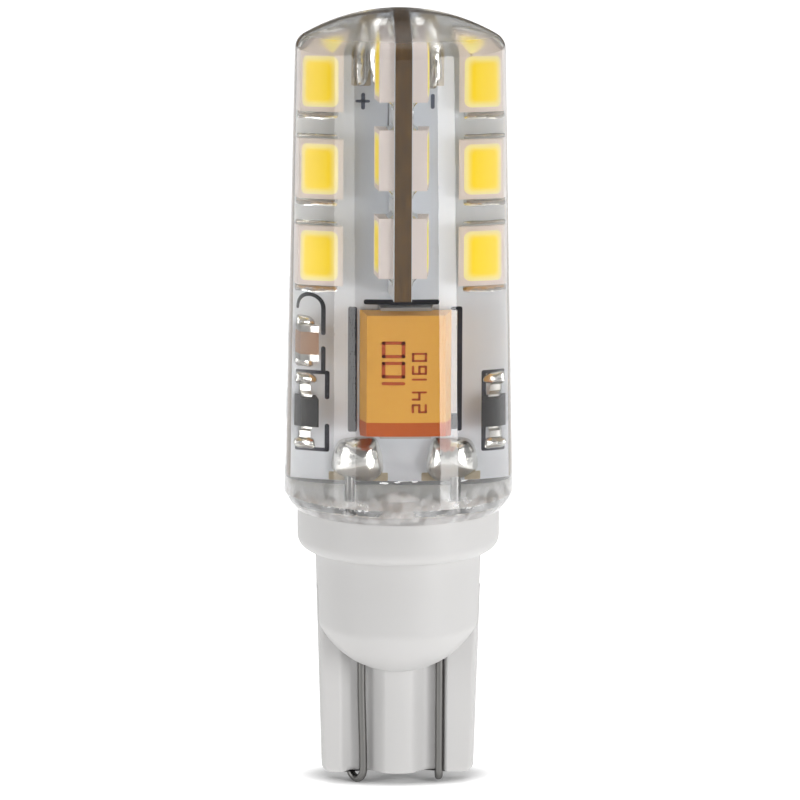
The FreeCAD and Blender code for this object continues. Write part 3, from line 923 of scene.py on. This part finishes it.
def window_shell(face, package, radius):
    """Gel in a cup: rounded rectangle drawn in from its rim by a share s, sinking as s times (2 - s), and
    its depth inward for the colour."""
    across, up, width, length, height = package
    shares = np.concatenate([[0.0], np.linspace(0.0, GEL_LAST, 22)])
    size = np.array([width - 2 * LED_RIM_SIDE, length - 2 * LED_RIM_END])
    outline = rounded_outline(*size, radius)
    inset = shares[:, None] * size.min() / size[None, :]
    x = outline[None, :, 0] * (1 - inset[:, :1])
    z = outline[None, :, 1] * (1 - inset[:, 1:])
    sink = np.concatenate([[-GEL_FLOOR], GEL_RISE - GEL_SINK * shares[1:] * (2 - shares[1:])])
    out = np.broadcast_to((height + sink)[:, None], x.shape)
    rings = closed(on_face(face, across + x, up + z, out))
    value = np.concatenate([[0.0], shares, [1.0]])
    return rings, np.broadcast_to(value[:, None], rings.shape[:2])


def fillet_shell(face, package, end, reach, climb, seed):
    """Solder meniscus at one end of a package: the section falls from the wall as climb times (1 - s)
    squared, and is carried across with ends that close as the sixth-power ellipse and a small wave on its
    reach."""
    across, up, width, length, height = package
    t = np.linspace(-FILLET_TIP, FILLET_TIP, 30)[:, None]
    fade = (1 - np.abs(t) ** 6) ** (1 / 6)
    wave = 1 + FILLET_WAVE * np.sin(5 * t + seed)
    s = np.linspace(0, 1, 8)[None, :]
    wall = end * length / 2
    run = reach * wave * (FILLET_NARROW + (1 - FILLET_NARROW) * fade) * s
    rise = climb * fade * (1 - s) ** 2 + FILLET_EDGE * fade
    x = np.broadcast_to(t * (width / 2 - FILLET_SIDE), run.shape)
    top = on_face(face, across + x, up + wall + end * run, rise)
    floor = on_face(face, across + x, up + wall + end * run, 0 * rise + FILLET_FOOT)[:, ::-1]
    return closed(np.concatenate([top, floor], axis=1))


class BULB_OT_lights(bpy.types.Operator):
    """Fills the LED cups and lays the solder at the ends of the packages"""

    bl_idname = "bulb.lights"
    bl_label = "LED windows and solder"

    def execute(self, context):
        sizes = context.scene.bulb_lights
        gel = phosphor(sizes.phosphor_colour, sizes.phosphor_rim)
        solder = solder_metal()
        plastic = reflector_plastic()
        for face in FACES:
            packages = led_boxes(face)
            made = [window_shell(face, package, sizes.window_radius / MM) for package in packages]
            shells, depths = zip(*made)
            windows = piece(f"gel_windows_{face}", shells, gel, inward=depths)
            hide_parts(f"led_windows_{face}")
            shells = []
            for number, package in enumerate(packages):
                for end, reach, climb, step, first in FILLET_ENDS:
                    shells.append(fillet_shell(face, package, end, reach, climb, first + step * number))
            fillets = piece(f"end_solder_{face}", shells, solder)
            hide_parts(f"led_solder_{face}")
        for node in NAMES:
            if node.startswith("led_") and "windows" not in node and "solder" not in node:
                dress(node, plastic)
        return {"FINISHED"}


# Solder between the boards: its reach and the swing of it as shares of the corner, how deep it starts and
# how deep its root lies in millimetres, and the phase of its wave from corner to corner
JOINT_REACH = 0.62
JOINT_WAVE = 0.08
JOINT_SINK = 0.01
JOINT_ROOT = 0.05
JOINT_STEP = 1.9

# The two long pads beside the cross board, in millimetres, and where their solder's middle lies as a share
# of the joint's length
LONG_PADS_X = (-1.72, 1.4448)
PAD_WIDTH = 0.85
PAD_MARGIN = 0.075
PAD_DROP = 0.6

# The lumps on them: width and length as shares, height in millimetres, wave, its phase, points round, rows
SMOOTH_LUMP = (1.0, 0.8, 0.3, 0.03, 0.4, 48, 10)
CRUMPLED_LUMP = (0.8, 0.95, 0.25, 0.16, 2.1, 96, 14)

# Power of the superellipse that a pad's solder follows
SOFT_SQUARE = 2.6

# Mounds over the leads' ends, in millimetres, and the solder at the chip parts' ends
MOUND_WIDTH = 2.6
MOUND_POWER = 3.0
MOUND_MIDDLE = 0.86
MOUND_TAPER = 0.2
MOUND_LEAN = 0.1
MOUND_WAVE = 0.05
MOUND_PHASE = 1.3
BLOB_LENGTH = 0.8
BLOB_HEIGHT = 0.35
BLOB_GAP = 0.1
BLOB_WAVE = 0.08
DIODE_REACH = 0.88


def joint_shell(turn, seed):
    """Fillet between the boards: a quarter section, hollowed by half of sin 2s, whose reach swings slowly
    with height as a sine and closes at both ends as the sixth-power ellipse."""
    low, high = corners_of("board_joint_solder")
    z = np.linspace(low[2], high[2], 36)[:, None]
    phase = (z - low[2]) / (high[2] - low[2])
    fade = (1 - np.abs(2 * phase - 1) ** 6) ** (1 / 6)
    reach = (high[0] - BOARD_HALF) * (JOINT_REACH + JOINT_WAVE * np.sin(7 * phase + seed)) * fade
    s = np.linspace(0, np.pi / 2, 12)[None, :]
    bend = 1 - np.sin(2 * s) / 2
    skin = BOARD_HALF - JOINT_SINK + 2 * JOINT_SINK * fade
    x = skin + reach * np.cos(s) * bend
    y = skin + reach * np.sin(s) * bend
    corner = np.full_like(z, BOARD_HALF - JOINT_ROOT)
    x = np.concatenate([x, corner], axis=1)
    y = np.concatenate([y, corner], axis=1)
    c = math.cos(turn)
    s = math.sin(turn)
    return closed(np.stack([x * c - y * s, x * s + y * c, np.broadcast_to(z, x.shape)], axis=-1))


def pad_blobs(face):
    """Solder on the two long pads beside the cross board: one smooth lump and one crumpled one."""
    low, high = corners_of("board_joint_solder")
    tall = high[2] - low[2]
    middle = high[2] - PAD_DROP * tall
    room = PAD_WIDTH - 2 * PAD_MARGIN
    lumps = []
    for across, lump in zip(LONG_PADS_X, (SMOOTH_LUMP, CRUMPLED_LUMP)):
        width, length, height, wave, phase, around, rows = lump
        outline = smooth_outline(width * room, length * tall, SOFT_SQUARE, around)
        lumps.append(mound(outline, height, face, across, middle, wave=wave, seed=phase, rows=rows))
    return lumps


def lead_mound(side):
    """Mound over a lead's end: a superellipse that narrows upwards in a straight line."""
    low, high = corners_of("lead_solder")
    tall = high[2] - low[2]
    outline = smooth_outline(MOUND_WIDTH, tall, MOUND_POWER, 72)
    outline[:, 0] *= MOUND_MIDDLE - MOUND_TAPER * outline[:, 1] / tall
    height = -low[1] - BOARD_HALF
    across = CIRCUIT_X + side * MOUND_X
    middle = low[2] + tall / 2
    lean = -MOUND_LEAN * side
    seed = MOUND_PHASE * side
    return mound(outline, height, "main_front", across, middle, lean, MOUND_WAVE, seed, rows=16)


def chip_boxes():
    """Board face and corners of every chip part with two ends, its end caps or leads taken in."""
    found = []
    for node in NAMES:
        if node == "ceramic_capacitor" or "_diode_" in node:
            low, high = corners_of(node)
            grow = np.array([0, 0, DIODE_REACH if "_diode_" in node else CHIP_END])
            found.append(("main_back" if node.startswith("rear") else "main_front", low - grow, high + grow))
    return found


class BULB_OT_solder(bpy.types.Operator):
    """Lays the solder over the leads, between the boards and at the chip parts' ends"""

    bl_idname = "bulb.solder"
    bl_label = "Solder"

    def execute(self, context):
        solder = solder_metal()
        lumps = piece("lead_solder_mounds", [lead_mound(side) for side in (-1, 1)], solder)
        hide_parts("lead_solder")
        quarters = [joint_shell(math.pi / 2 * number, JOINT_STEP * number) for number in range(4)]
        joints = piece("joint_solder_lumps", quarters, solder)
        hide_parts("board_joint_solder")
        shells = pad_blobs("main_front") + pad_blobs("main_back")
        for face, low, high in chip_boxes():
            across = (low[0] + high[0]) / 2 * FACES[face][1][0]
            outline = smooth_outline(high[0] - low[0], BLOB_LENGTH, SOFT_SQUARE)
            for up, seed in ((high[2] + BLOB_GAP, across), (low[2] - BLOB_GAP, 2 * across)):
                shells.append(mound(outline, BLOB_HEIGHT, face, across, up, wave=BLOB_WAVE, seed=seed))
        blobs = piece("pad_solder", shells, solder)
        return {"FINISHED"}


# Print round the capacitor, and a dark line of painted shade hard by its left side, in millimetres from its
# edges
SHADE_LINE_GAP = 0.06
FRAME_SECOND = 0.18
FRAME_RIGHT = 0.23
FRAME_INSET = 0.1
FRAME_RIGHT_FOOT = 0.15
FRAME_TURN = 0.3
TICKS_X = (0.2, 0.35)
TICKS_Z = (0.25, 1.0)
BAR_X = (-1.45, 1.6)
BARS_Z = (0.35, 0.27)

# Print round the chip parts: places across the board, and distances above and below them, in millimetres
ARCH_X = -3.42
INNER_X = -3.22
OUTER_X = 5.0
RIGHT_X = 3.78
CHIP_BELOW = 1.15
CHIP_ABOVE = 1.35
CHIP_OPEN_HEAD = 0.15
CHIP_OPEN_FOOT = 0.3
DIODE_BELOW = 1.35
DIODE_OPEN = 0.1

# The plus and minus signs: drop from the board's top, places across and half heights, in millimetres, and
# the width of their lines as a share of the others'
SIGN_DROP = 4.3
SIGN_WIDTH = 0.75
PLUS_X = (-1.88, -1.4)
PLUS_UPRIGHT = -1.62
PLUS_HALF = 0.4
MINUS_X = 1.38
MINUS_HALF = 0.35

# Heights between which print and bare pads lie on their surface, in millimetres
FILM_LOW = 0.001
FILM_HIGH = 0.012
LEGEND_HIGH = 0.02


def front_strokes():
    """Printed lines of the front: round the capacitor and the chip parts, with an arch over the top one.
    Beside the capacitor's left side, a dark line of painted shade.
    """
    low, high = corners_of("tantalum_capacitor")
    # Painted shade: the stroke here, hard by the capacitor's left side, stands in for the shade there; the
    # printed line is the second one, further out
    left = low[0] - SHADE_LINE_GAP
    second = left - FRAME_SECOND
    right = high[0] + FRAME_RIGHT
    foot = low[2] + FRAME_INSET
    head = high[2] - FRAME_INSET
    strokes = [
        (left, foot, left, head),
        (second, foot, second, head),
        (right, low[2] + FRAME_RIGHT_FOOT, right, head),
        (right - FRAME_TURN, head, right, head),
    ]
    strokes += [(right - x, low[2] + TICKS_Z[0], right - x, low[2] + TICKS_Z[1]) for x in TICKS_X]
    strokes += [(BAR_X[0], high[2] + z, BAR_X[1], high[2] + z) for z in BARS_Z]
    chip_low, chip_high = corners_of("ceramic_capacitor")
    diode_low, diode_high = corners_of("front_diode_left")
    chip_foot = chip_low[2] - CHIP_BELOW
    chip_head = chip_high[2] + CHIP_ABOVE
    diode_foot = diode_low[2] - DIODE_BELOW
    strokes += [
        (ARCH_X, chip_high[2] - CHIP_OPEN_HEAD, ARCH_X, chip_head),
        (ARCH_X, chip_foot, ARCH_X, chip_low[2] + CHIP_OPEN_FOOT),
        (-OUTER_X, chip_foot, INNER_X, chip_foot),
        (INNER_X, diode_high[2] - DIODE_OPEN, INNER_X, chip_foot),
        (INNER_X, diode_foot, INNER_X, diode_low[2] + DIODE_OPEN),
        (-OUTER_X, diode_foot, INNER_X, diode_foot),
        (RIGHT_X, diode_foot, RIGHT_X, chip_foot),
        (RIGHT_X, diode_foot, OUTER_X, diode_foot),
        (RIGHT_X, chip_foot, OUTER_X, chip_foot),
    ]
    span = (ARCH_X + OUTER_X) / 2
    arch = arc(span - OUTER_X, chip_head, span, 0, 180, 13)
    return strokes + [(*a, *b) for a, b in zip(arch[:-1], arch[1:])]


def sign_strokes():
    """Printed plus and minus under the two long pads."""
    up = corners_of("main_board")[1][2] - SIGN_DROP
    return [
        (PLUS_X[0], up, PLUS_X[1], up),
        (PLUS_UPRIGHT, up - PLUS_HALF, PLUS_UPRIGHT, up + PLUS_HALF),
        (MINUS_X, up - MINUS_HALF, MINUS_X, up + MINUS_HALF),
    ]


# Digits as strokes between the six corners of a tall figure: 0 1 at the foot, 2 3 in the middle, 4 5 at the
# head
DIGITS = {
    "0": ((0, 1), (1, 5), (5, 4), (4, 0)),
    "1": ((1, 5),),
    "2": ((4, 5), (5, 3), (3, 2), (2, 0), (0, 1)),
    "4": ((4, 2), (2, 3), (5, 1)),
    "6": ((5, 4), (4, 0), (0, 1), (1, 3), (3, 2)),
}


# The capacitor's rows: figures, place across and up, width, height, pitch and line width, in millimetres
FIGURES = (
    ("100", -0.15, 2.5, 0.8, 1.0, 1.2, 0.19),
    ("24160", 0.98, 1.6, 0.42, 0.65, 0.76, 0.12),
)

# Bare pads: how far the long ones run past the joint's solder, and the small ones beside the leads, in
# millimetres
LONG_PAD_EXTRA = 0.5
LONG_PAD_CORNER = 0.08
SMALL_PAD = (0.75, 0.5)
SMALL_PAD_CORNER = 0.05
SMALL_PAD_X = 0.95
SMALL_PAD_UP = 0.26


def digits(text, across, up, width, height, pitch):
    """Strokes of a row of plain digits that reads upwards, as the figures stand on their side."""
    strokes = []
    corner = [(c * width, r * height / 2) for r in range(3) for c in range(2)]
    for number, digit in enumerate(text):
        for a, b in DIGITS[digit]:
            (ax, ay), (bx, by) = corner[a], corner[b]
            start = up + number * pitch
            strokes.append((across - ay, start + ax, across - by, start + bx))
    return strokes


def figure_shells():
    """Both rows of figures on the capacitor's face, as ribbons."""
    low, high = corners_of("tantalum_capacitor")
    out = -low[1] - BOARD_HALF
    middle = (low[0] + high[0]) / 2
    shells = []
    for text, across, up, width, height, pitch, line_width in FIGURES:
        strokes = digits(text, middle + across, low[2] + up, width, height, pitch)
        shells += ribbons(strokes, line_width, out + FILM_LOW, out + FILM_HIGH, "main_front")
    return shells


def pad_plates():
    """Bare laminate: a long pad on each side of the cross board, front and back, and two small ones at each
    lead."""
    low, high = corners_of("board_joint_solder")
    tall = high[2] - low[2] + LONG_PAD_EXTRA
    outline = rounded_outline(PAD_WIDTH, tall, LONG_PAD_CORNER)
    up = high[2] + LONG_PAD_EXTRA - tall / 2
    plates = []
    for face in ("main_front", "main_back"):
        for across in LONG_PADS_X:
            plates.append(plate(outline, FILM_LOW, FILM_HIGH, face, across, up))
    outline = rounded_outline(*SMALL_PAD, SMALL_PAD_CORNER)
    up = corners_of("main_board")[0][2] + SMALL_PAD_UP
    for side in (-1, 1):
        for edge in (-1, 1):
            across = CIRCUIT_X + side * MOUND_X + edge * SMALL_PAD_X
            plates.append(plate(outline, FILM_LOW, FILM_HIGH, "main_front", across, up))
    return plates


class BULB_OT_boards(bpy.types.Operator):
    """Gives the boards their mask, bare pads and print"""

    bl_idname = "bulb.boards"
    bl_label = "Boards and print"

    def execute(self, context):
        for node, axis in (("main_board", 1), ("cross_board", 0)):
            dress(node, board_mask(f"white_mask_{node}", "#DDE1E6", "#3C2C14", axis))
        width = context.scene.bulb_lights.print_width / MM
        ink = plain("legend_and_shade_ink", "#15182A", 0.5, 0.1, 0.002)
        # These lines are the print, plus one dark stroke of painted shade beside the capacitor
        lines = ribbons(front_strokes(), width, FILM_LOW, LEGEND_HIGH, "main_front")
        marks = piece("legend_and_shade_marks", lines, ink)
        thin_ink = plain("thin_legend_ink", "#5A6072", 0.5, 0.1, 0.002)
        thin_lines = ribbons(sign_strokes(), SIGN_WIDTH * width, FILM_LOW, LEGEND_HIGH, "main_front")
        signs = piece("polarity_signs", thin_lines, thin_ink)
        bare = piece("bare_pads", pad_plates(), bare_laminate())
        marking = plain("capacitor_marking_ink", "#B4480A", 0.5, 0.1, 0.002)
        figures = piece("capacitor_marking", figure_shells(), marking)
        return {"FINISHED"}


class BULB_OT_circuit(bpy.types.Operator):
    """Gives the driver circuit its finishes"""

    bl_idname = "bulb.circuit"
    bl_label = "Driver circuit"

    def execute(self, context):
        black = plain("black_moulded_epoxy", "#0B0B0D", 0.6, 0.15, 0.006)
        tin = tin_sheet()
        finishes = {
            "tantalum_capacitor": amber_epoxy("#E0A440", "#BE5606"),
            "tantalum_terminals": tin,
            "chip_end_caps": tin,
            "diode_leads": tin,
            "driver_chip_leads": tin,
            "ceramic_capacitor": plain("fired_brown_ceramic", "#A98468", 0.45, 0.15, 0.003),
            "sense_resistors": plain("glazed_black_ceramic", "#1C1C20", 0.3, 0.2, 0.002),
            "driver_chip": black,
            "power_inductor": plain("sintered_ferrite", "#2B2B2E", 0.6, 0.12, 0.01),
        }
        finishes.update({node: black for node in NAMES if "_diode_" in node})
        for node, material in finishes.items():
            dress(node, material)
        return {"FINISHED"}


# Sizes and turns of the lamps, and the floor's half width, in metres and radians
LEFT_STRIP = (30 * MM, 52 * MM)
LEFT_ROLL = math.radians(18)
RIGHT_STRIP = (25 * MM, 52 * MM)
RIGHT_ROLL = math.radians(4)
SOFTBOX = (700 * MM, 700 * MM)
SOFTBOX_PLACE = (0, 50 * MM, 600 * MM)
FLOOR_HALF = 6.0
WORLD_LIGHT = 0.15
SENSOR_WIDTH = 36


def area_light(name, place, target, size, power, roll=0.0):
    """Soft rectangular light that faces a target."""
    lamp = bpy.data.lights.new(name, "AREA")
    lamp.shape = "RECTANGLE"
    lamp.size, lamp.size_y = size
    lamp.energy = power
    shown = bpy.data.objects.new(name, lamp)
    shown.location = place
    aim = (Vector(target) - Vector(place)).to_track_quat("-Z", "Y")
    shown.rotation_mode = "QUATERNION"
    shown.rotation_quaternion = aim @ Euler((0, 0, roll)).to_quaternion()
    bpy.context.scene.collection.objects.link(shown)


def around(turn, distance, height):
    """Place round the bulb, by its turn from the front towards +X, its distance and its height."""
    return (distance * math.sin(turn), -distance * math.cos(turn), height)


def pale_floor():
    """Square floor at the height of the part's lowest point."""
    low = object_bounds()[0][2]
    turns = ((-1, -1), (1, -1), (1, 1), (-1, 1))
    mesh = bpy.data.meshes.new("studio_floor")
    mesh.from_pydata([(x * FLOOR_HALF, y * FLOOR_HALF, low) for x, y in turns], [], [(0, 1, 2, 3)])
    mesh.materials.append(lit_paper())
    floor = bpy.data.objects.new("studio_floor", mesh)
    bpy.context.scene.collection.objects.link(floor)
    floor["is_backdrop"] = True


class BULB_OT_studio(bpy.types.Operator):
    """Sets the pale floor, the soft lights and the camera"""

    bl_idname = "bulb.studio"
    bl_label = "Studio"

    def execute(self, context):
        sizes = context.scene.bulb_studio
        scene = context.scene
        pale_floor()

        world = bpy.data.worlds.new("soft_studio")
        scene.world = world
        world.use_nodes = True
        world.node_tree.nodes.clear()
        glow = add(world.node_tree, "ShaderNodeBackground", {"Color": (1, 1, 1, 1), "Strength": WORLD_LIGHT})
        add(world.node_tree, "ShaderNodeOutputWorld", {"Surface": glow.outputs[0]})

        middle = (0, 0, sizes.strip_height)
        left = around(sizes.left_turn, sizes.strip_distance, sizes.strip_height)
        right = around(sizes.right_turn, sizes.strip_distance, sizes.strip_height)
        area_light("left_strip", left, middle, LEFT_STRIP, sizes.left_power, LEFT_ROLL)
        area_light("right_strip", right, middle, RIGHT_STRIP, sizes.right_power, RIGHT_ROLL)
        area_light("overhead_softbox", SOFTBOX_PLACE, middle, SOFTBOX, sizes.top_power)

        camera = bpy.data.cameras.new("camera")
        camera.sensor_width = SENSOR_WIDTH
        camera.lens = sizes.lens
        camera.shift_x = sizes.shift_x
        camera.shift_y = sizes.shift_y
        camera.clip_start = 10 * MM
        shown = bpy.data.objects.new("camera", camera)
        shown.location = around(sizes.azimuth, sizes.distance, sizes.height)
        look = Matrix.Rotation(sizes.azimuth, 4, "Z") @ Matrix.Rotation(math.pi / 2 - sizes.pitch, 4, "X")
        shown.rotation_mode = "QUATERNION"
        shown.rotation_quaternion = (look @ Matrix.Rotation(sizes.roll, 4, "Z")).to_quaternion()
        scene.collection.objects.link(shown)
        scene.camera = shown
        scene.view_settings.view_transform = "Standard"
        return {"FINISHED"}


class BULB_PT_sidebar(bpy.types.Panel):
    """Lists the bulb's steps"""

    bl_label = "LED bulb"
    bl_space_type = "VIEW_3D"
    bl_region_type = "UI"
    bl_category = "Bulb"

    def draw(self, context):
        for group in ("bulb_casting", "bulb_lights", "bulb_studio"):
            settings = getattr(context.scene, group)
            for key in type(settings).__annotations__:
                self.layout.prop(settings, key)
        for step in STEPS:
            self.layout.operator(step.bl_idname)


STEPS = (
    BULB_OT_casting,
    BULB_OT_base,
    BULB_OT_leads,
    BULB_OT_lights,
    BULB_OT_solder,
    BULB_OT_boards,
    BULB_OT_circuit,
    BULB_OT_studio,
)
GROUPS = {"bulb_casting": BulbCasting, "bulb_lights": BulbLights, "bulb_studio": BulbStudio}


def register():
    """Registers the classes and hangs the settings on the scene."""
    for group in (*GROUPS.values(), *STEPS, BULB_PT_sidebar):
        bpy.utils.register_class(group)
    for name, group in GROUPS.items():
        setattr(bpy.types.Scene, name, bpy.props.PointerProperty(type=group))


def unregister():
    """Takes the settings and classes away again."""
    for name in GROUPS:
        delattr(bpy.types.Scene, name)
    for group in reversed((*GROUPS.values(), *STEPS, BULB_PT_sidebar)):
        bpy.utils.unregister_class(group)


def main():
    """Registers the add-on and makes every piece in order."""
    register()
    for step in STEPS:
        space, name = step.bl_idname.split(".")
        getattr(getattr(bpy.ops, space), name)()


if __name__ == "__main__":
    main()
